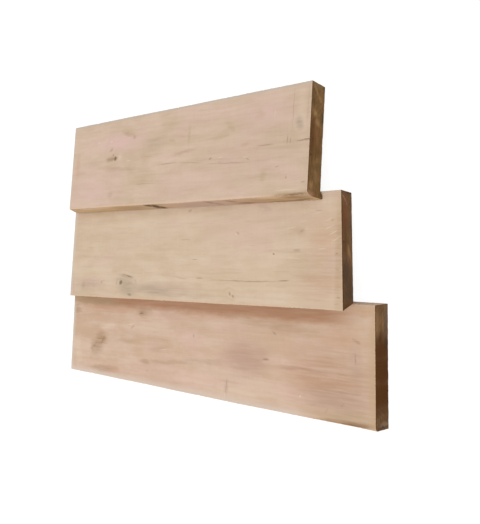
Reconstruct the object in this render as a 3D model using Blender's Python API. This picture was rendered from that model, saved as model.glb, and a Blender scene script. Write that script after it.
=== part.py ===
"""A small stack of rough-sawn planks, laid like shingles on a level floor.

The bottom plank lies flat. Each of the others keeps its far edge on the floor and rests
its near edge on the plank before it, so its tilt follows from the planks' own sizes.
Sizes are in metres. X runs along the planks, Z points up, and the floor is at Z = 0.
The origin is on the floor, under the middle of the whole stack.
"""

import math
from dataclasses import dataclass

import bmesh
import bpy
from mathutils import Matrix, Vector

# Sawn section and lengths. The bottom plank was sawn a little wider, at its near edge.
PLANK_WIDTH = 0.150
BOTTOM_EXTRA_WIDTH = 0.003
PLANK_THICKNESS = 0.022
TOP_LENGTH = 0.5342
MIDDLE_LENGTH = 0.5775
BOTTOM_LENGTH = 0.6372

# How far each plank's near end stands past the end of the plank above it
STEP_MIDDLE = 0.0404
STEP_BOTTOM = 0.0360

# How far each raised edge reaches over the plank it lies on, at the plank's middle
LAP_TOP = 0.0073
LAP_MIDDLE = 0.0037

# Turn of each raised plank about the vertical, in degrees
TURN_TOP = -0.16
TURN_MIDDLE = 0.76

# Air left between a raised plank and the one it lies on
SEAT_GAP = 0.0003

# End cuts are a little out of square. Right end first: how far the cut runs along the
# plank per metre across its width, and per metre up through its thickness.
TOP_CUTS = (-0.017, -0.057)
TOP_CUT_LEANS = (-0.22, 0.35)
MIDDLE_CUTS = (-0.074, -0.069)
MIDDLE_CUT_LEANS = (-0.05, 0.05)
BOTTOM_CUTS = (0.036, 0.143)
BOTTOM_CUT_LEANS = (-0.22, 0.06)

# Sawn edges lean: how far the lower corner is set in from the upper one, near and far
TOP_SET_IN = (-0.0039, 0.0040)
MIDDLE_SET_IN = (0.0105, 0.0)
BOTTOM_SET_IN = (0.0, 0.0)

# Sawn corners are worn by about this much, and the wear wanders along the plank
CORNER_WEAR = 0.0007
WEAR_WANDER = 0.45
CORNER_POINTS = 4
END_WEAR = 0.0005

# The sawn near edge wanders a little from a straight line
EDGE_WANDER = 0.0004

# Bark edge left on the near upper corner: its reach over the face and down the edge,
# and the places along the plank, from 0 to 1, where it starts and where it is full
TOP_WANE = (0.0030, 0.0085)
TOP_WANE_SPAN = (0.72, 0.96)
BOTTOM_WANE = (0.0045, 0.0035)
BOTTOM_WANE_SPAN = (0.66, 0.95)
NO_WANE = (0.0, 0.0)
WHOLE_LENGTH = (0.0, 1.0)
WANE_WANDER = 0.15

# Drying crack that opens at the top plank's right end
CRACK_ACROSS = 0.073
CRACK_LENGTH = 0.024
CRACK_WIDTH = 0.0011
CRACK_DEPTH = 0.007
CRACK_TURN = 2.5

# Waves that make up a wandering line: waves along the plank, shift and share of each
WANDER_WAVES = ((5.3, 1.0, 0.5), (13.1, 2.3, 0.3), (31.7, 3.9, 0.2))
LOW_WEAR_SHIFT = 2.0
HIGH_WEAR_SHIFT = 5.0
WANE_SHIFT = 9.0

# Rings along each plank, and how the seat is searched for
STATIONS = 34
CUTTER_MARGIN = 0.004
MOST_TILT = 30.0
TILT_HALVINGS = 40

ROUGHNESS = 0.85


@dataclass(frozen=True)
class Plank:
    """One sawn plank in its own frame: X from its middle, Y from its near edge, Z up."""

    name: str
    length: float
    cuts: tuple
    cut_leans: tuple
    set_in: tuple
    wane: tuple
    wane_span: tuple
    seed: float
    colour: tuple
    extra_width: float = 0.0

    @property
    def far_low(self):
        """Distance across the plank of its far lower corner."""
        return PLANK_WIDTH - self.set_in[1]


TOP = Plank(
    name="plank_top",
    length=TOP_LENGTH,
    cuts=TOP_CUTS,
    cut_leans=TOP_CUT_LEANS,
    set_in=TOP_SET_IN,
    wane=TOP_WANE,
    wane_span=TOP_WANE_SPAN,
    seed=1.7,
    colour=(0.56, 0.40, 0.28, 1.0),
)
MIDDLE = Plank(
    name="plank_middle",
    length=MIDDLE_LENGTH,
    cuts=MIDDLE_CUTS,
    cut_leans=MIDDLE_CUT_LEANS,
    set_in=MIDDLE_SET_IN,
    wane=NO_WANE,
    wane_span=WHOLE_LENGTH,
    seed=4.1,
    colour=(0.54, 0.37, 0.27, 1.0),
)
BOTTOM = Plank(
    name="plank_bottom",
    length=BOTTOM_LENGTH,
    cuts=BOTTOM_CUTS,
    cut_leans=BOTTOM_CUT_LEANS,
    set_in=BOTTOM_SET_IN,
    wane=BOTTOM_WANE,
    wane_span=BOTTOM_WANE_SPAN,
    seed=7.3,
    colour=(0.50, 0.35, 0.23, 1.0),
    extra_width=BOTTOM_EXTRA_WIDTH,
)


def clear_scene():
    for obj in list(bpy.data.objects):
        bpy.data.objects.remove(obj, do_unlink=True)


def wander(place, seed):
    """A smooth, repeatable value between -1 and 1 along a plank."""
    return sum(share * math.sin(waves * place + shift * seed) for waves, shift, share in WANDER_WAVES)


def smooth_step(value):
    value = min(max(value, 0.0), 1.0)
    return value * value * (3.0 - 2.0 * value)


def wane_at(plank, place):
    """How much of the bark edge there is at this place along the plank, from 0 to 1."""
    start, full = plank.wane_span
    swell = smooth_step((place - start) / (full - start))
    return swell * (1.0 + WANE_WANDER * wander(place, plank.seed + WANE_SHIFT))


def worn_corner(corner, before, after, back, on):
    """Points of a rounded corner, from `back` before the sharp one to `on` after it."""
    start = corner + (before - corner).normalized() * back
    end = corner + (after - corner).normalized() * on
    points = []
    for step in range(CORNER_POINTS):
        share = step / (CORNER_POINTS - 1)
        points.append(start.lerp(corner, share).lerp(corner.lerp(end, share), share))
    return points


def section(plank, place):
    """Outline across a plank at a place from 0, its left end, to 1, its right end."""
    edge = EDGE_WANDER * wander(place, plank.seed) - plank.extra_width
    near_low = Vector((edge + plank.set_in[0], 0.0))
    far_low = Vector((plank.far_low, 0.0))
    far_high = Vector((PLANK_WIDTH, PLANK_THICKNESS))
    near_high = Vector((edge, PLANK_THICKNESS))
    low_wear = CORNER_WEAR * (1.0 + WEAR_WANDER * wander(place, plank.seed + LOW_WEAR_SHIFT))
    high_wear = CORNER_WEAR * (1.0 + WEAR_WANDER * wander(place, plank.seed + HIGH_WEAR_SHIFT))
    wane = wane_at(plank, place)
    over_face = high_wear + wane * plank.wane[0]
    down_edge = high_wear + wane * plank.wane[1]
    outline = worn_corner(near_low, near_high, far_low, low_wear, low_wear)
    outline += worn_corner(far_low, near_low, far_high, CORNER_WEAR, CORNER_WEAR)
    outline += worn_corner(far_high, far_low, near_high, CORNER_WEAR, CORNER_WEAR)
    outline += worn_corner(near_high, far_high, near_low, over_face, down_edge)
    return outline


def end_place(plank, side, point):
    """Distance along the plank of its cut end, at this point of its section."""
    which = 0 if side > 0 else 1
    across = plank.cuts[which] * (point.x - PLANK_WIDTH / 2)
    up = plank.cut_leans[which] * (point.y - PLANK_THICKNESS / 2)
    return side * plank.length / 2 + across + up


def drawn_in(point, inset):
    """Moves a point of the section towards its middle, for a worn end."""
    middle = Vector((PLANK_WIDTH / 2, PLANK_THICKNESS / 2))
    offset = point - middle
    moved = [math.copysign(max(abs(value) - inset, 0.0), value) for value in offset]
    return middle + Vector(moved)


def station_points(plank, place, inset):
    """One ring of points round the plank."""
    ring = []
    for point in section(plank, place):
        point = drawn_in(point, inset)
        left = end_place(plank, -1, point)
        right = end_place(plank, 1, point)
        ring.append(Vector((left + (right - left) * place, point.x, point.y)))
    return ring


def station_places(plank):
    """Places of the rings along the plank, with a close pair at each worn end."""
    end = END_WEAR / plank.length
    inner = [end + (1.0 - 2.0 * end) * i / (STATIONS - 1) for i in range(STATIONS)]
    return [(0.0, END_WEAR)] + [(place, 0.0) for place in inner] + [(1.0, END_WEAR)]


def close_rings(mesh, rings):
    """Joins rings of points into one closed skin."""
    count = len(rings[0])
    for here, there in zip(rings, rings[1:]):
        for i in range(count):
            j = (i + 1) % count
            mesh.faces.new((here[i], here[j], there[j], there[i]))
    mesh.faces.new(rings[0])
    mesh.faces.new(rings[-1])
    bmesh.ops.recalc_face_normals(mesh, faces=mesh.faces)


def new_object(name, rings):
    """An object whose closed skin runs through these rings of points."""
    mesh = bmesh.new()
    close_rings(mesh, [[mesh.verts.new(point) for point in ring] for ring in rings])
    data = bpy.data.meshes.new(name)
    mesh.to_mesh(data)
    mesh.free()
    obj = bpy.data.objects.new(name, data)
    bpy.context.scene.collection.objects.link(obj)
    return obj


def new_material(name, colour):
    wood = bpy.data.materials.new(name)
    wood.use_nodes = True
    shader = wood.node_tree.nodes["Principled BSDF"]
    shader.inputs["Base Color"].default_value = colour
    shader.inputs["Roughness"].default_value = ROUGHNESS
    shader.inputs["Metallic"].default_value = 0.0
    return wood


def make_plank(plank, stack, placing):
    rings = [station_points(plank, place, inset) for place, inset in station_places(plank)]
    obj = new_object(plank.name, rings)
    obj.parent = stack
    obj.location = placing.to_translation()
    obj.rotation_euler = placing.to_euler()
    obj.data.materials.append(new_material(plank.name, plank.colour))
    return obj


def lean_and_turn(tilt, turn):
    return Matrix.Rotation(turn, 4, "Z") @ Matrix.Rotation(-tilt, 4, "X")


def placing_of(plank, along, far_y, turn, tilt):
    """Places a plank with its worn far lower corner on the floor at `far_y`."""
    turned = lean_and_turn(tilt, turn)
    corner = Vector((plank.far_low, 0.0))
    face = Vector((0.0, 0.0))
    edge = Vector((PLANK_WIDTH, PLANK_THICKNESS))
    worn = worn_corner(corner, face, edge, CORNER_WEAR, CORNER_WEAR)
    hinge = turned @ Vector((0.0, plank.far_low, 0.0))
    lowest = min((turned @ Vector((0.0, point.x, point.y))).z for point in worn)
    return Matrix.Translation((along - hinge.x, far_y - hinge.y, -lowest)) @ turned


def shared_length(upper, lower, to_upper):
    """Places along the raised plank between which the lower plank is under it."""
    corner = Vector((lower.length / 2, PLANK_WIDTH, PLANK_THICKNESS))
    right = (to_upper @ corner).x
    corner.x = -corner.x
    left = (to_upper @ corner).x
    return max(left, -upper.length / 2), min(right, upper.length / 2)


def seat_gap(upper, upper_placing, lower, lower_placing):
    """The least air between a raised plank and the plank that it lies on.

    Faces are flat and corners straight, so the air is least at an end of their shared
    length: over the lower plank's far corner, or under the raised plank's near corner.
    """
    to_upper = upper_placing.inverted() @ lower_placing
    to_lower = to_upper.inverted()
    seat_line = PLANK_WIDTH - CORNER_WEAR
    lip_line = upper.set_in[0] + CORNER_WEAR
    gaps = []
    for along in shared_length(upper, lower, to_upper):
        lip = to_lower @ Vector((along, lip_line, 0.0))
        seat = to_upper @ Vector((lip.x, seat_line, PLANK_THICKNESS))
        gaps.append(-seat.z)
        if lip.y < seat_line:
            gaps.append(lip.z - PLANK_THICKNESS)
    return min(gaps)


def placing_over(upper, lower_placing, along, lap, turn, tilt):
    """Places a raised plank so that it reaches `lap` over the far edge of the lower one."""
    from_lower = lower_placing.inverted() @ Vector((along, 0.0, 0.0))
    seat = lower_placing @ Vector((from_lower.x, PLANK_WIDTH, PLANK_THICKNESS))
    reach = (upper.far_low - upper.set_in[0]) * math.cos(tilt)
    return placing_of(upper, along, seat.y - lap + reach, turn, tilt)


def lay_on(upper, lower, lower_placing, along, lap, turn):
    """Halves the tilt's range until the raised plank clears the lower one by the gap."""
    low, high = 0.0, math.radians(MOST_TILT)
    for _ in range(TILT_HALVINGS):
        tilt = (low + high) / 2
        placing = placing_over(upper, lower_placing, along, lap, turn, tilt)
        if seat_gap(upper, placing, lower, lower_placing) < SEAT_GAP:
            low = tilt
        else:
            high = tilt
    return placing


def make_crack(plank, top):
    """Cuts a thin wedge that opens at the plank's right end and runs out inside it."""
    mouth = end_place(plank, 1, Vector((CRACK_ACROSS, PLANK_THICKNESS)))
    reach = CUTTER_MARGIN + PLANK_THICKNESS * abs(plank.cut_leans[0])
    half = CRACK_WIDTH / 2 * (CRACK_LENGTH + reach) / CRACK_LENGTH
    outline = ((-CRACK_LENGTH, 0.0), (reach, -half), (reach, half))
    turn = Matrix.Rotation(math.radians(CRACK_TURN), 4, "Z")
    base = Vector((mouth, CRACK_ACROSS, 0.0))
    heights = (PLANK_THICKNESS - CRACK_DEPTH, PLANK_THICKNESS + CUTTER_MARGIN)
    rings = [[base + turn @ Vector((x, y, height)) for x, y in outline] for height in heights]
    cutter = new_object("crack_cutter", rings)
    cutter.parent = top
    cutter.hide_render = True
    cutter.display_type = "WIRE"
    modifier = top.modifiers.new("crack", "BOOLEAN")
    modifier.operation = "DIFFERENCE"
    modifier.solver = "EXACT"
    modifier.object = cutter


def centre_on_origin(stack, planks):
    """Moves the stack so that the middle of its base is at the origin."""
    bpy.context.view_layer.update()
    points = [obj.matrix_world @ vertex.co for obj in planks for vertex in obj.data.vertices]
    low = Vector([min(point[axis] for point in points) for axis in range(3)])
    high = Vector([max(point[axis] for point in points) for axis in range(3)])
    stack.location = (-(low.x + high.x) / 2, -(low.y + high.y) / 2, -low.z)


def build():
    clear_scene()
    stack = bpy.data.objects.new("stack", None)
    bpy.context.scene.collection.objects.link(stack)

    bottom_placing = placing_of(BOTTOM, 0.0, PLANK_WIDTH, 0.0, 0.0)
    middle_along = (BOTTOM_LENGTH - MIDDLE_LENGTH) / 2 - STEP_BOTTOM
    turn = math.radians(TURN_MIDDLE)
    middle_placing = lay_on(MIDDLE, BOTTOM, bottom_placing, middle_along, LAP_MIDDLE, turn)
    top_along = middle_along + (MIDDLE_LENGTH - TOP_LENGTH) / 2 - STEP_MIDDLE
    turn = math.radians(TURN_TOP)
    top_placing = lay_on(TOP, MIDDLE, middle_placing, top_along, LAP_TOP, turn)

    bottom = make_plank(BOTTOM, stack, bottom_placing)
    middle = make_plank(MIDDLE, stack, middle_placing)
    top = make_plank(TOP, stack, top_placing)
    make_crack(TOP, top)
    centre_on_origin(stack, [top, middle, bottom])


build()
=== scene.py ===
"""Looks of a small stack of three rough-sawn planks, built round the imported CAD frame.

Each plank is a fine mesh with the CAD plank's own shape, cut back a little by saw marks
and wear. Its wood is a solid pattern in the plank's own frame, so a knot or a growth
ring runs through the wood from one side to the other. Lengths are in metres, those
named _MM and all places of marks in millimetres.
"""

import math
from dataclasses import dataclass

import bpy
import numpy as np
from mathutils import Matrix, Vector


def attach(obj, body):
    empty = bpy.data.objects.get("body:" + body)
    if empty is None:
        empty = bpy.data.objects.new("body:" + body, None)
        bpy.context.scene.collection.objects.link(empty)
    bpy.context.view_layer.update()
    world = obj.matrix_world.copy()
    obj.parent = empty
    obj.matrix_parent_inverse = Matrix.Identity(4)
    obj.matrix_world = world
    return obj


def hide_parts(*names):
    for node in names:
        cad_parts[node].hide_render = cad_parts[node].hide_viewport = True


MM = 0.001

# ---------------------------------------------------------------- shape, as in the CAD

PLANK_WIDTH = 0.150
PLANK_THICKNESS = 0.022
CORNER_WEAR = 0.0007
WEAR_WANDER = 0.45
END_WEAR = 0.0005
EDGE_WANDER = 0.0004
WANE_WANDER = 0.15
# Where each long corner's wear starts in the wander: near low, near high, far low, far high
WEAR_SHIFTS = (2.0, 5.0, 12.0, 15.0)
WANE_SHIFT = 9.0
# Waves along a plank: how many radians, how far the seed shifts them, and their share
WANDER_WAVES = ((5.3, 1.0, 0.5), (13.1, 2.3, 0.3), (31.7, 3.9, 0.2))

# ---------------------------------------------------------------- shape, finer than the CAD

ALONG_CELLS = 500
CLOSE_STEPS_MM = (0.0, 0.2, 0.45, 0.8, 1.3, 2.1, 3.3, 5.0)
END_STEPS_MM = (0.0, 0.12, 0.3, 0.6, 1.1)
ACROSS_STEP_MM = 2.4
UP_STEP_MM = 2.0
FAR_FROM_ARRIS_MM = 30.0


@dataclass(frozen=True)
class Plank:
    """One plank in its own frame: X from its middle, Y from its near edge, Z up.

    `cuts` and `cut_leans` are the right end's and the left one's, `set_in` the near and
    the far edge's. `wane` reaches across and down. Angles are in degrees.
    """

    node: str
    length: float
    cuts: tuple
    cut_leans: tuple
    set_in: tuple
    wane: tuple
    wane_span: tuple
    seed: float
    origin: tuple
    turn: float
    tilt: float
    crack: bool = False
    extra_width: float = 0.0
    torn: float = 0.0


TOP = Plank(
    node="plank_top",
    length=0.5342,
    cuts=(-0.017, -0.057),
    cut_leans=(-0.22, 0.35),
    set_in=(-0.0039, 0.0040),
    wane=(0.0030, 0.0085),
    wane_span=(0.72, 0.96),
    seed=1.7,
    origin=(-0.0219482, 0.0674404, 0.0232349),
    turn=-0.16,
    tilt=9.201659,
    crack=True,
    torn=0.0034,
)
MIDDLE = Plank(
    node="plank_middle",
    length=0.5775,
    cuts=(-0.074, -0.069),
    cut_leans=(-0.05, 0.05),
    set_in=(0.0105, 0.0),
    wane=(0.0, 0.0),
    wane_span=(0.0, 1.0),
    seed=4.1,
    origin=(-0.0008348, -0.0803580, 0.0252500),
    turn=0.76,
    tilt=9.736805,
)
BOTTOM = Plank(
    node="plank_bottom",
    length=0.6372,
    cuts=(0.036, 0.143),
    cut_leans=(-0.22, 0.06),
    set_in=(0.0, 0.0),
    wane=(0.0045, 0.0035),
    wane_span=(0.66, 0.95),
    seed=7.3,
    origin=(0.0033543, -0.2163223, 0.0),
    turn=0.0,
    tilt=0.0,
    extra_width=0.003,
)

CRACK_ACROSS = 0.073
CRACK_LENGTH = 0.024
CRACK_WIDTH = 0.0011
CRACK_DEPTH = 0.007
CRACK_TURN = 2.5
CRACK_REACH = 0.006
CRACK_CLEARING = 0.0012
CRACK_WIGGLE = 0.00035
CRACK_WIGGLE_STEP = 0.0035
CRACK_CLOSED = 0.25
TORN_ACROSS = 0.009
TORN_UP = 0.016
TORN_FROM = 0.97

# ---------------------------------------------------------------- saw marks and wear

NOISE_SIZE = 256
CHIP_MM = 1.3
# Fine wear: its share and length in mm. Chips: their share and length in mm, and the noise
# above which there is one and how much more makes it full
FINE_WEAR = ((0.35, 3.1), (0.25, 1.3))
CHIPS = ((1.0, 6.0, 0.72, 0.28), (0.5, 2.2, 0.7, 0.3))
# The saw's teeth: length of a ridge in mm, its slant, and how deep it is in mm
TOOTH_PITCH = 3.4
TOOTH_SLANT = 0.05
TOOTH_DEPTH = 0.075
# Roughness of each side: number of the noise, depth, length, slant and width, in mm
FACE_ROUGHNESS = (
    (23, 0.05, 1.9, 0.06, 45.0),
    (24, 0.10, 70.0, 0.0, 40.0),
    (25, 0.05, 30.0, 0.0, 2.6),
)
EDGE_ROUGHNESS = (
    (26, 0.10, 2.3, 0.2, 30.0),
    (27, 0.09, 26.0, 0.0, 2.4),
    (28, 0.10, 50.0, 0.0, 30.0),
)
END_ROUGHNESS = ((29, 0.10, 2.6, 0.5, 6.0), (30, 0.08, 9.0, 0.0, 7.0))
RIGHT_END_SHIFT = 9


def value_noise(seed, u, v=0.0):
    """Smooth noise from -1 to 1 over places given in cells. The same on every run."""
    table = np.random.default_rng(seed).uniform(-1.0, 1.0, (NOISE_SIZE, NOISE_SIZE))
    u, v = np.broadcast_arrays(np.asarray(u, float), np.asarray(v, float))
    i, j = np.floor(u).astype(int), np.floor(v).astype(int)
    a, b = u - i, v - j
    a, b = a * a * (3 - 2 * a), b * b * (3 - 2 * b)
    i0, i1 = i % NOISE_SIZE, (i + 1) % NOISE_SIZE
    j0, j1 = j % NOISE_SIZE, (j + 1) % NOISE_SIZE
    low = table[i0, j0] * (1 - a) + table[i1, j0] * a
    high = table[i0, j1] * (1 - a) + table[i1, j1] * a
    return low * (1 - b) + high * b


def wander(place, seed):
    """A slow wave from about -1 to 1 along a plank, as in the CAD."""
    return sum(
        share * np.sin(waves * place + shift * seed) for waves, shift, share in WANDER_WAVES
    )


def smooth_step(value):
    value = np.clip(value, 0.0, 1.0)
    return value * value * (3.0 - 2.0 * value)


def steps_between(length, close, step):
    """Places from 0 to a length: close together at both ends and even between them."""
    close = np.array(close) * MM
    count = max(int(round((length - 2 * close[-1]) / (step * MM))), 1)
    middle = np.linspace(close[-1], length - close[-1], count + 1)
    return np.concatenate([close[:-1], middle, (length - close[:-1])[::-1]])


def lattice(plank):
    """The places of the mesh's rows: along from 0 to 1, across and up in metres."""
    ends = np.array(END_STEPS_MM) * MM / plank.length
    inner = np.linspace(ends[-1], 1 - ends[-1], ALONG_CELLS + 1 - 2 * (len(ends) - 1))
    along = np.concatenate([ends[:-1], inner, (1 - ends[:-1])[::-1]])
    across = steps_between(PLANK_WIDTH, CLOSE_STEPS_MM, ACROSS_STEP_MM)
    up = steps_between(PLANK_THICKNESS, CLOSE_STEPS_MM, UP_STEP_MM)
    if plank.crack:
        half = CRACK_WIDTH / 2
        lips = [CRACK_ACROSS - half, CRACK_ACROSS, CRACK_ACROSS + half]
        clear = np.abs(across - CRACK_ACROSS) > CRACK_CLEARING
        across = np.sort(np.concatenate([across[clear], lips]))
    return along, across, up


def skin(shape):
    """Vertices and faces of a block's outside, as steps of its lattice."""
    number = -np.ones(shape, int)
    steps = np.indices(shape).reshape(3, -1).T
    last = np.array(shape) - 1
    outside = ((steps == 0) | (steps == last)).any(1)
    steps = steps[outside]
    number[tuple(steps.T)] = np.arange(len(steps))
    faces = []
    for axis in range(3):
        for side in (0, last[axis]):
            sheet = np.take(number, side, axis)
            quad = np.stack([sheet[:-1, :-1], sheet[1:, :-1], sheet[1:, 1:], sheet[:-1, 1:]], -1)
            quad = quad.reshape(-1, 4)
            outward = (side > 0) == (axis != 1)
            faces.append(quad if outward else quad[:, ::-1])
    return steps, np.concatenate(faces)


def rounded(first, second, reach_first, reach_second):
    """Moves points near a sharp corner onto a round one.

    `first` and `second` are the distances from the corner's two sides, and the reaches
    say how far from the corner the rounding starts along each of them.
    """
    u = np.clip((reach_first - first) / np.maximum(reach_first, 1e-9), 0.0, None)
    v = np.clip((reach_second - second) / np.maximum(reach_second, 1e-9), 0.0, None)
    near = (u > 0) & (v > 0)
    scale = np.where(near, np.maximum(u, v) / np.maximum(np.hypot(u, v), 1e-9), 1.0)
    return (
        np.where(near, reach_first * (1 - u * scale), first),
        np.where(near, reach_second * (1 - v * scale), second),
    )


def wear_at(plank, place, corner):
    """Reach of the wear at a corner, with chips where the saw tore the wood."""
    base = wander(place, plank.seed + WEAR_SHIFTS[corner])
    base = CORNER_WEAR * (1.0 + WEAR_WANDER * base)
    mm = place * plank.length / MM
    seed = int(plank.seed * 10) + 100 * corner
    fine, chips = 1.0, 0.0
    for number, (share, length) in enumerate(FINE_WEAR, 1):
        fine = fine + share * value_noise(seed + number, mm / length)
    for number, (share, length, start, span) in enumerate(CHIPS, 3):
        chip = np.clip(value_noise(seed + number, mm / length) - start, 0, 1) / span
        chips = chips + share * chip
    return base * fine + CHIP_MM * MM * chips


def wane_at(plank, place):
    start, full = plank.wane_span
    swell = smooth_step((place - start) / (full - start))
    return swell * (1.0 + WANE_WANDER * wander(place, plank.seed + WANE_SHIFT))


def crack_line(plank, x, y, z):
    """Draws the mesh's rows together along the crack, and sinks the middle one."""
    end = plank.length / 2 + plank.cuts[0] * (y - PLANK_WIDTH / 2)
    inward = np.clip(end - x, 0.0, None)
    opening = np.clip(1.0 - inward / CRACK_LENGTH, 0.0, 1.0)
    wiggle = CRACK_WIGGLE * value_noise(61, inward / CRACK_WIGGLE_STEP)
    wiggle = wiggle * np.clip(inward / (3 * MM), 0, 1)
    middle = CRACK_ACROSS - math.tan(math.radians(CRACK_TURN)) * np.minimum(inward, CRACK_LENGTH)
    middle = middle + wiggle
    offset = y - CRACK_ACROSS
    half = CRACK_WIDTH / 2
    lip = np.abs(offset) <= half * 1.01
    width = np.where(lip, np.maximum(opening, CRACK_CLOSED), 1.0)
    falloff = np.clip(1.0 - np.abs(offset) / CRACK_REACH, 0.0, 1.0)
    fade = np.clip(1.0 - (inward - CRACK_LENGTH) / (2 * CRACK_LENGTH), 0.0, 1.0)
    moved = CRACK_ACROSS + offset * width + (middle - CRACK_ACROSS) * falloff * fade
    y = np.where(np.abs(offset) < CRACK_REACH, moved, y)
    sunk = np.where(np.abs(offset) < half * 0.1, CRACK_DEPTH * opening**0.8, 0.0)
    return y, z * (1.0 - sunk / PLANK_THICKNESS), sunk / CRACK_DEPTH


def worn_corners(plank, place, y, z):
    """Rounds the four long corners by their wear, and the near top one by its wane too."""
    width, thick = PLANK_WIDTH, PLANK_THICKNESS
    wane = wane_at(plank, place)
    new_y, new_z = y, z
    for corner, (far, high) in enumerate(((0, 0), (0, 1), (1, 0), (1, 1))):
        wear = wear_at(plank, place, corner)
        reach_y, reach_z = wear, wear
        if high and not far:
            reach_y, reach_z = (wear + wane * reach for reach in plank.wane)
        a, b = rounded(width - y if far else y, thick - z if high else z, reach_y, reach_z)
        here = y >= width / 2 if far else y < width / 2
        here = here & (z >= thick - np.maximum(reach_z, thick / 2) if high else z < thick / 2)
        new_y = np.where(here, width - a if far else a, new_y)
        new_z = np.where(here, thick - b if high else b, new_z)
    return new_y, new_z


def worn_ends(plank, place, y, z):
    """How far the wear at the ends' rims moves points along and in from their side."""
    width, thick = PLANK_WIDTH, PLANK_THICKNESS
    from_side = np.minimum(np.minimum(y, width - y), np.minimum(z, thick - z))
    from_end = np.minimum(place, 1 - place) * plank.length
    ring = (np.abs(y - width / 2) + 3 * z) / MM
    end_seed = np.where(place < 0.5, 0.0, 40.0)
    reach = END_WEAR * (1.3 + 0.5 * value_noise(17, ring / 4.0, end_seed))
    reach = reach + 0.6 * MM * np.clip(value_noise(18, ring / 3.0, end_seed) - 0.6, 0, 1)
    worn_end, worn_side = rounded(from_end, from_side, reach, reach)
    return worn_end, worn_side - from_side


def plank_points(plank, steps, rows):
    """Places of the skin's points in the plank's frame, and how deep each is in the crack."""
    along, across, up = rows
    place, y, z = along[steps[:, 0]], across[steps[:, 1]], up[steps[:, 2]]
    width, thick = PLANK_WIDTH, PLANK_THICKNESS
    worn_end, inset = worn_ends(plank, place, y, z)
    y, z = worn_corners(plank, place, y, z)
    y = width / 2 + (y - width / 2) * (1 - inset / (width / 2))
    z = thick / 2 + (z - thick / 2) * (1 - inset / (thick / 2))

    edge = EDGE_WANDER * wander(place, plank.seed) - plank.extra_width
    left = edge + plank.set_in[0] * (1 - z / thick)
    right = width - plank.set_in[1] * (1 - z / thick)
    y = left + (right - left) * y / width

    ends = []
    for which, side in ((1, -1), (0, 1)):
        cut = plank.cuts[which] * (y - width / 2) + plank.cut_leans[which] * (z - thick / 2)
        ends.append(side * plank.length / 2 + cut)
    torn = smooth_step(1.0 - y / TORN_ACROSS) * smooth_step(1.0 - z / TORN_UP)
    reach_back = smooth_step((place - TORN_FROM) / (1 - TORN_FROM))
    ends[1] = ends[1] + plank.torn * torn * reach_back
    share = worn_end / plank.length
    share = np.where(place < 0.5, share, 1 - share)
    x = ends[0] + (ends[1] - ends[0]) * share
    sunk = np.zeros_like(x)
    if plank.crack:
        y, z, sunk = crack_line(plank, x, y, z)
    return np.stack([x, y, z], -1), sunk


def roughness(seed, kinds, u, v, shift=0, total=0.0):
    """How deep a sawn side is cut at places along and across it, in mm."""
    for number, depth, long, slant, wide in kinds:
        noise = value_noise(seed + number, u / long + slant * v, v / wide + shift)
        total = total + depth * (1 + noise)
    return total


def saw_depth(plank, points, normals):
    """How far the saw cut below the CAD face at each point, always inwards."""
    x, y, z = (points / MM).T
    seed = int(plank.seed * 10)
    phase = x / TOOTH_PITCH + TOOTH_SLANT * y + 0.9 * value_noise(seed + 21, x / 34.0)
    ridges = 0.5 - 0.5 * np.cos(2 * np.pi * phase)
    share = 0.5 + 0.5 * value_noise(seed + 22, x / 45.0, y / 60.0 + 3)
    face = roughness(seed, FACE_ROUGHNESS, x, y, total=TOOTH_DEPTH * ridges * share)
    side = roughness(seed, EDGE_ROUGHNESS, x, z)
    end = roughness(seed, END_ROUGHNESS, y, z, (x > 0) * RIGHT_END_SHIFT)
    weight = normals**2
    return (face * weight[:, 2] + side * weight[:, 1] + end * weight[:, 0]) * MM


def placing_of(plank):
    turn = Matrix.Rotation(math.radians(plank.turn), 4, "Z")
    tilt = Matrix.Rotation(math.radians(-plank.tilt), 4, "X")
    return Matrix.Translation(plank.origin) @ turn @ tilt


def add_attribute(mesh, name, values):
    attribute = mesh.attributes.new(name, "FLOAT", "POINT")
    attribute.data.foreach_set("value", np.ascontiguousarray(values, np.float32))


def make_plank(plank, material):
    rows = lattice(plank)
    steps, faces = skin(tuple(len(row) for row in rows))
    points, sunk = plank_points(plank, steps, rows)
    mesh = bpy.data.meshes.new(plank.node + "_wood")
    mesh.from_pydata(points.tolist(), [], faces.tolist())
    mesh.update()
    normals = np.empty(len(points) * 3, np.float32)
    mesh.vertex_normals.foreach_get("vector", normals)
    normals = normals.reshape(-1, 3).astype(float)
    depth = saw_depth(plank, points, normals) * (1 - sunk)
    placing = np.array(placing_of(plank))
    moved = (points - normals * depth[:, None]) @ placing[:3, :3].T + placing[:3, 3]
    mesh.vertices.foreach_set("co", moved.astype(np.float32).ravel())
    mesh.shade_smooth()

    along, across, up = rows
    place, y, z = along[steps[:, 0]], across[steps[:, 1]], up[steps[:, 2]]
    from_end = np.minimum(place, 1 - place) * plank.length / MM
    from_side = np.minimum(y, PLANK_WIDTH - y) / MM
    from_face = np.minimum(z, PLANK_THICKNESS - z) / MM
    gaps = np.sort(np.stack([from_end, from_side, from_face]), axis=0)
    add_attribute(mesh, "on_end", (from_end <= 0.0).astype(float))
    add_attribute(mesh, "on_edge", (from_side <= 0.0).astype(float))
    add_attribute(mesh, "from_arris", np.minimum(gaps[1], FAR_FROM_ARRIS_MM))
    add_attribute(mesh, "in_crack", sunk)
    add_attribute(mesh, "saw_depth", depth / MM)
    mesh.update()

    obj = bpy.data.objects.new(plank.node + "_wood", mesh)
    bpy.context.scene.collection.objects.link(obj)
    mesh.materials.append(material)
    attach(obj, "root")
    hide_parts(plank.node)


# ---------------------------------------------------------------- wood


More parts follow.
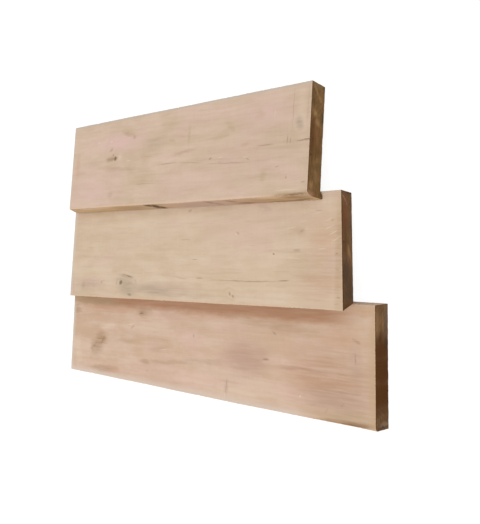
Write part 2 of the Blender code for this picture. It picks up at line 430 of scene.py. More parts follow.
def srgb(red, green, blue):
    """A colour written as 0 to 255 on screen, as the shader's linear one."""
    channels = []
    for value in (red, green, blue):
        value /= 255.0
        channels.append(value / 12.92 if value <= 0.04045 else ((value + 0.055) / 1.055) ** 2.4)
    return (*channels, 1.0)


class Graph:
    """Short names for making and joining a material's nodes."""

    def __init__(self, name):
        self.material = bpy.data.materials.new(name)
        self.material.use_nodes = True
        self.tree = self.material.node_tree
        self.shader = self.tree.nodes["Principled BSDF"]

    def node(self, kind, inputs=(), **settings):
        node = self.tree.nodes.new("ShaderNode" + kind)
        for key, value in settings.items():
            setattr(node, key, value)
        for key, value in dict(inputs).items():
            self.give(node.inputs[key], value)
        return node

    def give(self, socket, value):
        if isinstance(value, bpy.types.NodeSocket):
            self.tree.links.new(value, socket)
        else:
            socket.default_value = value

    def math(self, operation, *values):
        node = self.node("Math", operation=operation)
        for socket, value in zip(node.inputs, values):
            self.give(socket, value)
        return node.outputs[0]

    def add(self, *values):
        total = values[0]
        for value in values[1:]:
            total = self.math("ADD", total, value)
        return total

    def times(self, *values):
        total = values[0]
        for value in values[1:]:
            total = self.math("MULTIPLY", total, value)
        return total

    def minus(self, a, b):
        return self.math("SUBTRACT", a, b)

    def vector(self, operation, a, b=(0.0, 0.0, 0.0), scale=1.0):
        node = self.node("VectorMath", operation=operation)
        self.give(node.inputs[0], a)
        self.give(node.inputs[1], b)
        if operation == "SCALE":
            self.give(node.inputs["Scale"], scale)
        is_number = operation in ("LENGTH", "DISTANCE", "DOT_PRODUCT")
        return node.outputs["Value" if is_number else "Vector"]

    def combine(self, x, y, z=0.0):
        return self.node("CombineXYZ", {"X": x, "Y": y, "Z": z}).outputs[0]

    def split(self, vector):
        return self.node("SeparateXYZ", {0: vector}).outputs[:3]

    def mix(self, factor, a, b):
        node = self.node("Mix", data_type="RGBA")
        for key, value in (("Factor_Float", factor), ("A_Color", a), ("B_Color", b)):
            socket = next(s for s in node.inputs if s.identifier == key)
            self.give(socket, value)
        return next(s for s in node.outputs if s.identifier == "Result_Color")

    def noise(self, vector, scale=1.0, detail=2.0, roughness=0.5, output="Fac"):
        inputs = {"Vector": vector, "Scale": scale, "Detail": detail, "Roughness": roughness}
        return self.node("TexNoise", inputs, noise_dimensions="3D").outputs[output]

    def ramp(self, value, low, high, to_low=0.0, to_high=1.0, smooth=True):
        inputs = {0: value, 1: low, 2: high, 3: to_low, 4: to_high}
        kind = "SMOOTHSTEP" if smooth else "LINEAR"
        return self.node("MapRange", inputs, interpolation_type=kind).outputs[0]

    def attribute(self, name):
        return self.node("Attribute", attribute_name=name).outputs["Fac"]

    def oval(self, plane, x, y, long, wide, angle, core, strength):
        """A strength inside an oval on a plane and 0 outside it, with a soft rim."""
        cos, sin = math.cos(math.radians(angle)), math.sin(math.radians(angle))
        along, over = (cos / long, sin / long, 0.0), (-sin / wide, cos / wide, 0.0)
        middle = (along[0] * x + along[1] * y, over[0] * x + over[1] * y, 0.0)
        if angle:
            place = self.combine(
                self.vector("DOT_PRODUCT", plane, along), self.vector("DOT_PRODUCT", plane, over)
            )
        else:
            place = self.vector("MULTIPLY", plane, (1.0 / long, 1.0 / wide, 0.0))
        return self.ramp(self.vector("DISTANCE", place, middle), 1.0, core, 0.0, strength)


MM_PER_METRE = 1000.0
GRAIN_WANDER_MM = 5.0
SEED_STEP_MM = 40.0
# How far past a knot, in its own half lengths and widths, the grain bends, and how much
KNOT_PULL_REACH = (6.0, 4.5)
KNOT_PULL = 0.55

# Kinds of marks: the colour they blend towards, as it looks on screen, and the part of
# their reach within which they are full
MARK_KINDS = {
    "pink": ((218, 184, 174), 0.0),
    "pale": ((226, 206, 182), 0.0),
    "olive": ((186, 163, 128), 0.1),
    "rust": ((198, 150, 124), 0.1),
    "mauve": ((184, 156, 142), 0.1),
    "grey": ((162, 145, 126), 0.1),
    "stain": ((160, 128, 98), 0.2),
    "tan": ((186, 144, 96), 0.1),
    "russet": ((140, 84, 50), 0.1),
    "umber": ((87, 49, 9), 0.2),
    "soot": ((66, 50, 38), 0.1),
    "scratch": ((238, 220, 198), 0.3),
    "line": ((128, 98, 74), 0.3),
    "knot": ((96, 72, 52), 0.3),
}
CRISP_KINDS = ("scratch", "line", "knot")

# More colours on screen: of the left rim, the dried right rim, the crack, the far edge
# and the rim along it, and how bright the dark streaks of an edge are
WEATHERED = (208, 196, 182)
DRIED = (190, 158, 120)
CRACK_SHADE = (116, 84, 62)
FAR_EDGE = (214, 186, 164)
FAR_RIM = (192, 182, 168)
EDGE_STREAK = 0.9

# Marks on the faces by kind: along, across, half length, half width, angle, strength
TOP_MARKS = {
    "pink": (
        (-130, 108, 95, 27, -4, 0.8), (-196, 30, 120, 56, 0, 0.5), (186, 116, 80, 38, 0, 0.62),
        (60, 30, 110, 26, 0, 0.35),
    ),
    "pale": (
        (-128, 84, 9, 10, 0, 0.4), (-175, 113, 18, 8, 10, 0.35), (0, 68, 60, 3, -2, 0.3),
        (249, 112, 12, 52, 0, 0.25),
    ),
    "olive": (
        (38, 104, 5, 24, 0, 0.5), (0, 128, 34, 16, 0, 0.35), (-104, 124, 34, 11, -12, 0.4),
        (-60, 42, 44, 12, 0, 0.45), (-2, 98, 12, 6, 0, 0.45), (122, 105, 18, 9, -32, 0.5),
        (100, 92, 30, 5, 3, 0.3), (190, 28, 9, 13, 0, 0.5), (175, 118, 14, 12, 0, 0.3),
        (222, -1.5, 68, 9.5, 5, 1.0),
    ),
    "rust": (
        (-246, 76, 9, 32, 3, 0.35), (154, 76, 16, 5, 4, 0.45), (-60, 78, 18, 2, -3, 0.35),
    ),
    "grey": (
        (-40, 98, 40, 15, 0, 0.22), (247, 95, 9, 14, 20, 0.62), (-205, 78, 55, 7, 0, 0.12),
    ),
    "stain": (
        (-150, 82, 20, 7, 8, 0.6), (-156, 98, 10, 4, 12, 0.4), (-146, 20, 12, 9, 0, 0.25),
        (-106, 120, 24, 6, -24, 0.22), (-97, 114, 8, 4, -30, 0.4), (28, 76, 44, 5, 6, 0.24),
        (-120, 62, 80, 5, -5, 0.22), (130, 66, 14, 4, 10, 0.18), (165, 62, 150, 70, 0, 0.13),
        (226, -2.5, 62, 8.0, 5, 0.9),
    ),
    "umber": ((248, 0.5, 36, 4.2, 4, 0.5),),
    "scratch": (
        (204, 113, 0.8, 9, 0, 0.35), (156, 58, 7, 1.0, -8, 0.35), (108, 62, 9, 0.9, 0, 0.3),
        (-190, 114, 5, 2.0, 0, 0.3), (-155, 112, 5, 2.0, 0, 0.3), (-104, 75, 8, 1.2, 0, 0.3),
        (232, 8, 26, 1.2, 0, 0.3),
    ),
    "line": (
        (-55, 34, 34, 1.1, -1, 0.32), (-8, 62.5, 38, 1.1, 0, 0.36),
        (45, 59.5, 34, 1.1, -5, 0.3), (120, 52.5, 60, 1.3, -3, 0.34),
        (190, 71.5, 20, 1.2, -1, 0.5), (228, 75, 1.4, 8, 0, 0.36), (233, 73, 1.4, 6, 0, 0.36),
        (235, 118, 1.0, 42, 0, 0.26), (259, 120, 1.0, 36, 0, 0.2), (87, 62, 4, 2.0, 20, 0.5),
        (104, 54, 6, 1.2, 10, 0.35), (160, 55, 5, 1.6, -25, 0.5), (214, 40, 5, 1.4, 10, 0.35),
        (230, 25, 2.6, 2.6, 0, 0.4), (258, 17, 5, 1.3, 5, 0.4),
    ),
    "knot": ((-139, 82, 4.6, 5.6, 0, 0.74), (-146, 88, 2.6, 2.2, 0, 0.5)),
}
MIDDLE_MARKS = {
    "pink": (
        (130, 100, 130, 60, 0, 0.3), (-190, 62, 80, 18, 0, 0.25), (-284, 22, 18, 26, 0, 0.4),
    ),
    # Painted light: the long pale band just below the top plank's near edge lightens the shade
    # there
    "pale": ((-120, 122, 260, 18, 0, 0.4),),
    "olive": ((-130, 90, 170, 40, 0, 0.08),),
    "rust": ((262, 84, 48, 60, 0, 0.3), (262, 30, 56, 34, 0, 0.3)),
    "mauve": (
        (-232, 22, 60, 16, 0, 0.5), (-285, 20, 20, 26, 0, 0.5), (-40, 20, 120, 12, 0, 0.4),
        (162, 135, 14, 14, 0, 0.35),
    ),
    "grey": (
        (-126, 20, 40, 24, -14, 0.5), (-140, 27, 18, 15, -10, 0.35), (-118, 8, 20, 7, -4, 0.5),
        (-246, 20, 8, 10, 0, 0.35), (-213, 19, 9, 5, 0, 0.35), (-192, 25, 7, 4, 40, 0.5),
        (-55, 14, 84, 12, -3, 0.42), (20, 10, 80, 7, -2, 0.28),
    ),
    "stain": (
        (250, 45, 70, 60, 0, 0.14), (284, 70, 10, 100, 0, 0.3), (-50, 11, 70, 4, -3, 0.22),
        (210, 74, 60, 6, 0, 0.2), (220, 100, 14, 9, 0, 0.2), (-130, 37, 24, 4, -10, 0.45),
    ),
    "scratch": (
        (268, 103, 10, 1.2, 22, 0.25), (274, 96, 10, 1.2, 24, 0.3),
        (279, 88, 9, 1.2, 26, 0.28), (266, 113, 8, 1.2, 20, 0.25), (110, 99, 4, 2.0, 0, 0.3),
        (205, 104, 14, 0.9, 6, 0.22), (225, 112, 12, 0.9, 4, 0.2), (248, 122, 9, 0.9, 6, 0.3),
        (215, 64, 16, 0.9, -4, 0.2), (258, 76, 10, 0.9, 0, 0.3),
    ),
    "line": (
        (-128, 37.5, 16, 1.5, -12, 0.45), (-153, 27, 1.5, 10, -6, 0.3),
        (-104, 28, 1.5, 9, 30, 0.2), (105, 33.5, 50, 1.2, 0, 0.4), (152, 33, 56, 1.3, 1, 0.45),
        (200, 35, 12, 1.5, 3, 0.55), (0, 36, 20, 1.6, -6, 0.3), (42, 36, 9, 1.5, 2, 0.4),
        (29, 63, 8, 1.2, 0, 0.4), (5, 93, 14, 1.2, 0, 0.3), (10, 137, 6, 3.0, 10, 0.35),
        (112, 100, 5, 3.0, -30, 0.3), (218, 75, 8, 3.0, 0, 0.3), (225, 100, 5, 2.6, 20, 0.3),
        (250, 125, 8, 1.2, 0, 0.3), (281, 70, 3, 1.6, 20, 0.4), (283, 50, 5, 1.4, -10, 0.35),
        (286, 16, 4, 1.6, 0, 0.4), (284, 8, 5, 1.4, 10, 0.35), (272, 112, 3, 2.4, 0, 0.3),
    ),
    "knot": (
        (180, 70, 3, 1.8, -20, 0.55), (105, 15, 4.5, 2.4, -60, 0.42),
        (111, 12, 3.4, 2.6, -30, 0.4), (-117, 7, 7, 2.8, -5, 0.35),
        (-142, 26, 6.2, 4.8, 40, 0.7), (-122, 36, 10, 1.8, -14, 0.3),
    ),
}
BOTTOM_MARKS = {
    "pink": (
        (-5, 80, 42, 24, 0, 0.5), (-60, 20, 150, 30, 0, 0.3), (180, 30, 60, 20, 0, 0.25),
    ),
    "pale": (
        (-120, 92, 90, 9, 0, 0.25), (-205, 86, 34, 9, 12, 0.4), (100, 12, 120, 12, 0, 0.25),
        (-306, 34, 18, 40, 0, 0.4), (-241, 56, 13, 5, 45, 0.45),
    ),
    "olive": ((265, 8, 60, 10, 4, 0.55),),
    # The long rust and stain entries along y 112 to 124 are painted shadow below the middle
    # plank's near edge
    "rust": (
        (-205, 12, 36, 11, 3, 0.3), (112, 66, 56, 30, 0, 0.4), (240, 52, 110, 54, 0, 0.42),
        (270, 100, 60, 34, 0, 0.3), (20, 117, 100, 9, 2, 0.35), (-215, 116, 120, 12, 0, 0.5),
        (100, 66, 60, 30, 4, 0.35),
    ),
    "mauve": (
        (106, 64, 70, 40, 6, 0.5), (288, 78, 14, 34, 0, 0.4), (66, 18, 6, 18, -12, 0.5),
        (258, 26, 76, 26, 0, 0.4),
    ),
    "stain": (
        (272, 1.0, 62, 6.0, 3, 0.85), (-308, 110, 24, 14, 0, 0.6), (-228, 9, 50, 10, 2, 0.45),
        (-215, 124, 120, 8, 0, 0.3), (112, 60, 60, 34, 4, 0.14), (-240, 54, 38, 20, 42, 0.68),
        (-228, 68, 14, 8, 40, 0.35), (-257, 41, 12, 9, 30, 0.5), (-115, 116, 26, 13, 8, 0.5),
        (-160, 64, 44, 5, 3, 0.28), (-115, 34, 22, 5, 1, 0.4), (-60, 39, 84, 5, 7, 0.3),
        (20, 50, 64, 6, 4, 0.25), (-85, 57, 30, 6, 12, 0.2), (180, 112, 100, 12, -3, 0.3),
        (235, 61, 84, 5, 1, 0.6), (185, 58, 26, 2.6, 2, 0.35), (282, 39, 46, 5, 5, 0.52),
        (262, 50, 110, 70, 0, 0.32),
    ),
    "tan": ((303, 142, 18, 12, 0, 0.3),),
    "umber": ((276, -0.5, 44, 2.4, 3, 0.35),),
    "scratch": (
        (-150, 92, 14, 1.2, 10, 0.35), (200, 24, 3, 1.6, 40, 0.35), (62, 6, 1.2, 6, 0, 0.3),
        (-70, 58, 12, 1.0, 6, 0.25),
    ),
    "line": (
        (-228, 60, 14, 3, 52, 0.34), (-252, 49, 13, 3, 40, 0.34), (66, 20, 1.6, 14, -12, 0.25),
        (1, 86, 2.4, 4.5, 0, 0.3), (160, 103, 7, 2.0, -35, 0.4), (290, 104, 9, 3, -20, 0.35),
        (288, 82, 2, 10, 0, 0.3), (-145, 88, 8, 2.6, 30, 0.3), (-112, 20, 5, 2, 20, 0.25),
        (242, 12, 1.4, 6, -40, 0.22), (266, 22, 1.4, 6, -40, 0.2),
        (262, -1.6, 64, 2.4, 1, 0.42),
    ),
    "knot": ((143, 66, 8, 2.0, 6, 0.4), (-121, 112, 8, 1.8, 6, 0.55)),
}

# Marks on the near edge, by place along and up, and on the right end, by across and up
TOP_EDGE_MARKS = {
    "pale": (
        (-200, 17, 70, 5, 0, 0.5), (30, 20, 80, 3, 0, 0.35), (195, 19, 40, 4, -3, 0.3),
    ),
    "olive": ((-60, 8, 60, 20, 0, 0.5),),
    "mauve": ((70, 8, 150, 30, 0, 0.85),),
    "stain": (
        (-100, 10, 70, 18, 0, 0.55), (205, 8, 90, 8, 0, 0.5), (-180, 3, 90, 4, 0, 0.4),
        (240, 20, 40, 5, 0, 0.6),
    ),
    "russet": ((150, 3, 40, 5, 0, 0.45), (-30, 5, 40, 5, 0, 0.4)),
    "umber": ((242, 14, 36, 5, -3, 0.45), (225, 2, 70, 5, 0, 0.5)),
    "knot": (
        (-47, 17.0, 13, 8.0, -6, 0.9), (-35, 12.0, 13, 12.0, -20, 1.0),
        (-25, 6.0, 10, 8.5, -30, 0.95), (86, 15, 12, 5.5, -32, 0.34),
        (98, 8, 12, 5.0, -30, 0.3), (128, 14, 16, 5.5, -28, 0.36),
        (148, 6, 20, 4.5, -14, 0.36), (252, 7, 22, 4, 4, 0.5),
    ),
}
TOP_END_MARKS = {
    "olive": ((146, 12, 9, 14, 0, 0.14),),
    "rust": ((2, 17, 7, 8, 0, 0.5),),
    "tan": (
        (138, 14, 15, 3.6, 30, 0.35), (129, 8, 15, 3.6, 32, 0.3), (107, 15, 8, 5, 20, 0.6),
        (96, 10, 8, 5, 20, 0.5), (26, 9, 14, 8, 0, 0.25), (13, 16, 9, 6, 0, 0.45),
    ),
    "russet": ((78, 11, 26, 8, 0, 0.3),),
    "umber": ((72, 18, 54, 7, 0, 0.55), (56, 11, 12, 16, 0, 0.3)),
    "soot": (
        (145, 1, 9, 4, 0, 0.6), (103, 1.5, 14, 3, 0, 0.7), (124, 18, 14, 2.4, 10, 0.45),
        (52, 19, 3, 2.6, 0, 0.9), (2, 1, 5, 4, 0, 0.7),
    ),
}
MIDDLE_END_MARKS = {
    "rust": ((141, 17, 9, 1.3, 35, 0.5), (136, 12, 9, 1.3, 35, 0.4)),
    "tan": ((74, 8, 12, 6, 25, 0.4),),
    "russet": ((120, 14, 36, 12, 0, 0.4),),
    "umber": (
        (100, 17, 44, 8, 0, 0.4), (118, 20.5, 40, 2.2, 0, 0.7), (84, 15, 18, 9, 0, 0.55),
        (30, 20, 40, 3, 0, 0.6), (6, 12, 9, 16, 0, 0.5),
    ),
    "soot": (
        (149, 6, 5, 12, 0, 0.6), (100, 1, 26, 3, 0, 0.5), (84, 18, 3, 2.4, 0, 0.9),
        (44, 14, 36, 12, 0, 0.6), (30, 8, 30, 14, 0, 0.55), (20, 14, 16, 9, 0, 0.5),
        (3, 14, 8, 14, 0, 0.5),
    ),
}
BOTTOM_END_MARKS = {
    "grey": ((132, 4, 26, 6, 0, 0.2), (4, 6, 5, 12, 0, 0.35)),
    "tan": ((130, 19, 26, 9, 0, 0.3), (126, 9, 18, 2.2, 0, 0.35)),
    "russet": ((86, 19, 20, 7, 0, 0.3),),
    "umber": (
        (106, 14, 14, 8, 0, 0.9), (93, 14, 24, 40, 0, 0.95), (70, 14, 34, 50, 0, 1.0),
        (40, 14, 34, 50, 0, 1.0), (22, 14, 12, 30, 0, 0.7), (15, 4, 12, 12, 0, 0.35),
    ),
    "soot": (
        (122, 4, 26, 3, 0, 0.3), (103, 3, 12, 6, 0, 0.6), (0, 10, 2.5, 16, 0, 0.6),
    ),
}


@dataclass(frozen=True)
class Look:
    """The wood's own colours on screen, its pith's place across and up, and its marks.

    Its last field paints shade: a painted shadow on the strip where the plank above
    casts it, with its colour and that near the left, its strength, where it starts and
    is full across the plank, and where it ends and is full along it.
    """

    slope: float
    light: tuple
    warm: tuple
    # The lip is a painted highlight along the near arris; its reach says where that starts and
    # is full
    lip: tuple
    highlight_reach: tuple
    dried: float
    edge: tuple
    end: tuple
    end_light: tuple
    end_dark: tuple
    pith: tuple
    ring: float
    seed: float
    marks: dict
    end_marks: dict
    edge_marks: dict = None
    far_rim: float = 0.1
    painted_shadow: tuple = ()


LOOKS = {
    "plank_top": Look(
        slope=0.02,
        light=(214, 189, 168),
        warm=(206, 181, 157),
        lip=(220, 188, 162),
        highlight_reach=(4.0, 2.0),
        dried=0.15,
        edge=(202, 169, 128),
        end=(127, 94, 55),
        end_light=(148, 114, 73),
        end_dark=(97, 69, 38),
        pith=(62.0, -52.0),
        ring=5.5,
        seed=3.1,
        marks=TOP_MARKS,
        end_marks=TOP_END_MARKS,
        edge_marks=TOP_EDGE_MARKS,
        far_rim=0.65,
    ),
    "plank_middle": Look(
        slope=0.0,
        light=(215, 193, 168),
        warm=(209, 185, 158),
        lip=(214, 182, 154),
        highlight_reach=(4.0, 2.0),
        dried=0.3,
        edge=(204, 170, 130),
        end=(122, 88, 56),
        end_light=(140, 104, 70),
        end_dark=(88, 64, 44),
        pith=(96.0, -60.0),
        ring=6.0,
        seed=8.6,
        marks=MIDDLE_MARKS,
        end_marks=MIDDLE_END_MARKS,
    ),
    "plank_bottom": Look(
        slope=-0.03,
        light=(212, 184, 162),
        warm=(203, 172, 147),
        lip=(214, 198, 185),
        highlight_reach=(13.0, 3.0),
        dried=0.6,
        edge=(204, 168, 130),
        end=(122, 90, 58),
        end_light=(142, 108, 72),
        end_dark=(90, 60, 34),
        pith=(70.0, -46.0),
        ring=5.0,
        seed=14.2,
        marks=BOTTOM_MARKS,
        end_marks=BOTTOM_END_MARKS,
        # A painted shadow below the middle plank's near edge
        painted_shadow=((172, 128, 97), (168, 138, 107), 0.95, (114.0, 128.0), (316.0, 233.0)),
    ),
}


def tone(kind):
    return srgb(*MARK_KINDS[kind][0])


def blend_marks(graph, colour, planes, marks, allowed, broken=1.0, streaked=1.0):
    """Blends a colour towards each kind of mark in turn, lightest kinds first.

    Lines and knots lie on the first plane, whose places hardly wander, and soft patches
    on the second. Each kind's nodes follow one another, because a renderer has room for
    only so many values at once.
    """
    dark = 0.0
    for kind, (_, core) in MARK_KINDS.items():
        mask = None
        for x, y, long, wide, angle, strength in marks.get(kind, ()):
            plane = planes[kind not in CRISP_KINDS and long >= wide]
            oval = graph.oval(plane, x, y, long, wide, angle, core, strength)
            mask = oval if mask is None else graph.math("MAXIMUM", mask, oval)
        if mask is None:
            continue
        texture = {"line": broken, "knot": 1.0, "scratch": 1.0}.get(kind, streaked)
        mask = graph.times(mask, graph.times(allowed, texture))
        colour = graph.mix(mask, colour, tone(kind))
        if kind in ("line", "knot"):
            dark = graph.math("MAXIMUM", mask, dark)
    return colour, dark


class Wood(Graph):
    """The material of one plank: places in its wood, grain and rings, and colours.

    Lengths are in millimetres. Nodes are made in the order in which they are used, for
    the same reason as in blend_marks.
    """

    def __init__(self, plank, look):
        super().__init__(plank.node + "_sawn_wood")
        self.plank, self.look = plank, look
        place = {
            "Vector": self.node("TexCoord").outputs["Object"],
            "Location": plank.origin,
            "Rotation": (math.radians(-plank.tilt), 0.0, math.radians(plank.turn)),
        }
        place = self.node("Mapping", place, vector_type="TEXTURE").outputs[0]
        self.mm = self.vector("SCALE", place, scale=MM_PER_METRE)
        self.x, self.y, self.z = self.split(self.mm)
        names = ("on_end", "on_edge", "from_arris", "in_crack")
        self.on_end, self.on_edge, self.from_arris, self.in_crack = map(self.attribute, names)
        self.on_face = self.minus(1.0, self.math("MAXIMUM", self.on_end, self.on_edge))
        self.offset = SEED_STEP_MM * look.seed
        self.face_plane = self.vector("MULTIPLY", self.mm, (1.0, 1.0, 0.0))
        self.lay_grain()
        self.lay_rings()

    def lay_grain(self):
        """Grain that runs along the plank, wanders a little and bends round the knots."""
        x, y = self.x, self.y
        slow = self.add(self.times(x, 0.008), self.offset)
        self.slow = self.noise(self.combine(slow, self.times(y, 0.01)), detail=1.0)
        sway = self.times(self.minus(self.slow, 0.5), GRAIN_WANDER_MM)
        self.across = self.add(y, sway, self.times(x, self.look.slope))
        for kx, ky, long, wide, angle, _ in self.look.marks["knot"]:
            long, wide = long * KNOT_PULL_REACH[0], wide * KNOT_PULL_REACH[1]
            near = self.oval(self.face_plane, kx, ky, long, wide, angle, 0.0, -KNOT_PULL)
            self.across = self.add(self.across, self.times(self.minus(y, ky), near))
        self.deep = self.add(self.z, self.offset)
        self.broad = self.streaks(200.0, 26.0, 1.0)
        self.medium = self.streaks(70.0, 6.5)
        self.fine = self.streaks(26.0, 1.5, 3.0, 0.6)
        self.fibre = self.streaks(8.0, 0.55, 2.0, 0.6)

    def streaks(self, along, wide, detail=2.0, roughness=0.55):
        """Noise drawn out along the grain, with the length and width of its streaks."""
        stretched = self.combine(
            self.times(self.x, 1.0 / along),
            self.times(self.across, 1.0 / wide),
            self.times(self.deep, 1.0 / wide),
        )
        return self.noise(stretched, detail=detail, roughness=roughness)

    def lay_rings(self):
        """Growth rings about the pith, which faces show faintly and ends clearly."""
        pith = self.look.pith
        from_pith = self.combine(self.minus(self.across, pith[0]), self.minus(self.z, pith[1]))
        rings = self.math("DIVIDE", self.vector("LENGTH", from_pith), self.look.ring)
        rings = self.add(rings, self.times(self.slow, 1.6), self.times(self.medium, 0.9))
        ring = self.math("FRACT", rings)
        self.late = self.times(self.ramp(ring, 0.35, 0.92), self.ramp(ring, 1.0, 0.93))

    def jittered(self, plane, scale, amount):
        """A plane whose places wander, each way by up to about half of its amount."""
        jitter = self.vector("MULTIPLY", self.mm, scale)
        jitter = self.noise(jitter, detail=3.0, output="Color")
        jitter = self.vector("SUBTRACT", jitter, (0.5, 0.5, 0.5))
        jitter = self.vector("MULTIPLY", jitter, amount)
        return self.vector("MULTIPLY", self.vector("ADD", plane, jitter), (1.0, 1.0, 0.0))

    def toward(self, colour, value, span, strength, target):
        """A colour blended towards another as a value goes through a span."""
        return self.mix(self.times(self.ramp(value, *span), strength), colour, target)

    def face_colour(self):
        """The sawn faces, with their marks and rims."""
        look, on_face = self.look, self.on_face
        patches = self.combine(self.x, self.across, self.deep)
        patches = self.vector("MULTIPLY", patches, (0.028, 0.07, 0.05))
        self.patches = self.noise(patches, detail=3.0, roughness=0.6)
        warmth = self.add(self.times(self.broad, 0.5), self.times(self.patches, 0.5))
        colour = self.mix(self.ramp(warmth, 0.38, 0.62), srgb(*look.light), srgb(*look.warm))
        tint = self.add(self.times(self.x, 0.014), self.offset)
        tint = self.combine(tint, self.times(self.y, 0.03), self.times(self.z, 0.02))
        tint = self.noise(tint, detail=2.0)
        colour = self.toward(colour, tint, (0.48, 0.75), 0.3, tone("pink"))
        colour = self.toward(colour, tint, (0.48, 0.25), 0.25, tone("olive"))
        colour = self.mix(self.times(self.late, 0.05), colour, tone("stain"))
        colour = self.toward(colour, self.medium, (0.52, 0.78), 0.14, tone("stain"))
        colour = self.toward(colour, self.medium, (0.46, 0.26), 0.14, tone("pale"))
        colour = self.toward(colour, self.fine, (0.56, 0.82), 0.2, tone("line"))
        colour = self.toward(colour, self.fibre, (0.6, 0.82), 0.16, tone("line"))
        sawn = self.ramp(self.attribute("saw_depth"), 0.14, 0.34)
        colour = self.mix(self.times(sawn, on_face, 0.07), colour, tone("stain"))

        crisp = self.jittered(self.face_plane, (0.1, 0.16, 0.16), (2.0, 2.0, 0.0))
        wandering = self.jittered(self.face_plane, (0.03, 0.09, 0.09), (36.0, 8.0, 0.0))
        self.broken = self.ramp(self.streaks(30.0, 2.0), 0.30, 0.62, 0.35, 1.15, smooth=False)
        self.streaked = self.ramp(self.streaks(45.0, 3.0), 0.34, 0.64, 0.62, 1.3, smooth=False)
        planes, textures = (crisp, wandering), (self.broken, self.streaked)
        colour, self.dark = blend_marks(self, colour, planes, look.marks, on_face, *textures)
        return self.rims(colour)

    def rims(self, colour):
        """The face's rims: weathered, dried, a painted highlight along the near one, and a
        painted shadow where the plank above casts it.
        """
        look, plank = self.look, self.plank
        x, y, on_face = self.x, self.y, self.on_face
        half_length = MM_PER_METRE * plank.length / 2
        middle = MM_PER_METRE * PLANK_WIDTH / 2
        cut = self.times(self.minus(middle, y), plank.cuts[1])
        from_left = self.add(x, half_length, cut)
        weathered = self.times(self.ramp(from_left, 11.0, 1.5), on_face, 0.75)
        colour = self.mix(weathered, colour, srgb(*WEATHERED))
        cut = self.times(self.minus(y, middle), plank.cuts[0])
        from_right = self.minus(self.add(half_length, cut), x)
        from_right = self.add(from_right, self.times(self.patches, 20.0))
        dried = self.times(self.ramp(from_right, 26.0, 12.0), on_face, look.dried)
        colour = self.mix(dried, colour, srgb(*DRIED))
        # Painted highlight: a paler band on the face along its near arris
        from_near = self.add(y, MM_PER_METRE * plank.extra_width)
        lip = self.ramp(from_near, *look.highlight_reach)
        lip = self.times(lip, self.ramp(x, 225.0, 180.0), on_face, 0.55)
        colour = self.mix(lip, colour, srgb(*look.lip))
        far_rim = self.times(self.ramp(y, 144.4, 148.8), on_face, look.far_rim)
        colour = self.mix(far_rim, colour, srgb(*FAR_RIM))
        # Painted shadow: a darker, warmer strip on the face where the plank above casts its
        # shade
        if look.painted_shadow:
            shade, left_shade, strength, across_span, along_span = look.painted_shadow
            wavy = self.times(self.minus(self.patches, 0.5), 9.0)
            painted_shadow = self.ramp(self.add(y, wavy), *across_span)
            painted_shadow = self.times(painted_shadow, self.ramp(x, *along_span), on_face, strength)
            thin = self.ramp(self.streaked, 0.6, 1.3, 1.0, 0.8, smooth=False)
            painted_shadow = self.times(painted_shadow, thin)
            shade = self.mix(self.ramp(x, -165.0, -215.0), srgb(*shade), srgb(*left_shade))
            colour = self.mix(painted_shadow, colour, shade)
        return colour

    def edge_colour(self):
        """The narrow sawn edges, with marks on the near one."""
        look, x, y, z = self.look, self.x, self.y, self.z
        darker = srgb(*[EDGE_STREAK * channel for channel in look.edge])
        colour = self.mix(self.ramp(self.medium, 0.3, 0.7), srgb(*look.edge), darker)
        colour = self.toward(colour, self.fine, (0.5, 0.75), 0.4, tone("line"))
        if look.edge_marks:
            plane = self.jittered(self.combine(x, z), (0.1, 0.16, 0.16), (4.0, 2.0, 0.0))
            near = self.ramp(y, 80.0, 70.0)
            marks = look.edge_marks
            colour, _ = blend_marks(self, colour, (plane, plane), marks, near, self.broken)
        return self.toward(colour, y, (110.0, 130.0), 0.85, srgb(*FAR_EDGE))

    def end_colour(self):
        """The sawn ends: rings, rays, blotches, marks on the right one, and painted shade along
        the top arris.
        """
        look, y, z = self.look, self.y, self.z
        light, dark = srgb(*look.end_light), srgb(*look.end_dark)
        blotch = self.vector("SCALE", self.mm, scale=0.06)
        blotch = self.noise(blotch, detail=3.0, roughness=0.6)
        colour = self.toward(srgb(*look.end), blotch, (0.45, 0.7), 0.45, dark)
        colour = self.toward(colour, blotch, (0.46, 0.30), 0.45, light)
        colour = self.mix(self.times(self.late, 0.3), colour, dark)
        speckle = self.vector("SCALE", self.mm, scale=1.1)
        self.speckle = self.noise(speckle, detail=3.0, roughness=0.7)
        colour = self.toward(colour, self.speckle, (0.5, 0.75), 0.3, dark)
        colour = self.toward(colour, self.speckle, (0.48, 0.3), 0.2, light)
        drawn = self.add(z, self.times(blotch, 6.0), self.times(y, 0.05))
        drawn = self.combine(self.times(y, 0.05), self.times(drawn, 0.7), self.offset)
        drawn = self.noise(drawn, detail=3.0, roughness=0.6)
        colour = self.toward(colour, drawn, (0.5, 0.68), 0.5, dark)
        colour = self.toward(colour, drawn, (0.5, 0.32), 0.4, light)
        plane = self.jittered(self.combine(y, z), (0.1, 0.08, 0.16), (9.0, 3.0, 0.0))
        right = self.ramp(self.x, -10.0, 10.0)
        colour, _ = blend_marks(self, colour, (plane, plane), look.end_marks, right)
        # Painted shade: a dark rim along the end's top arris
        top = self.add(z, self.times(drawn, 3.0))
        return self.toward(colour, top, (21.8, 22.6), 0.7, tone("umber"))

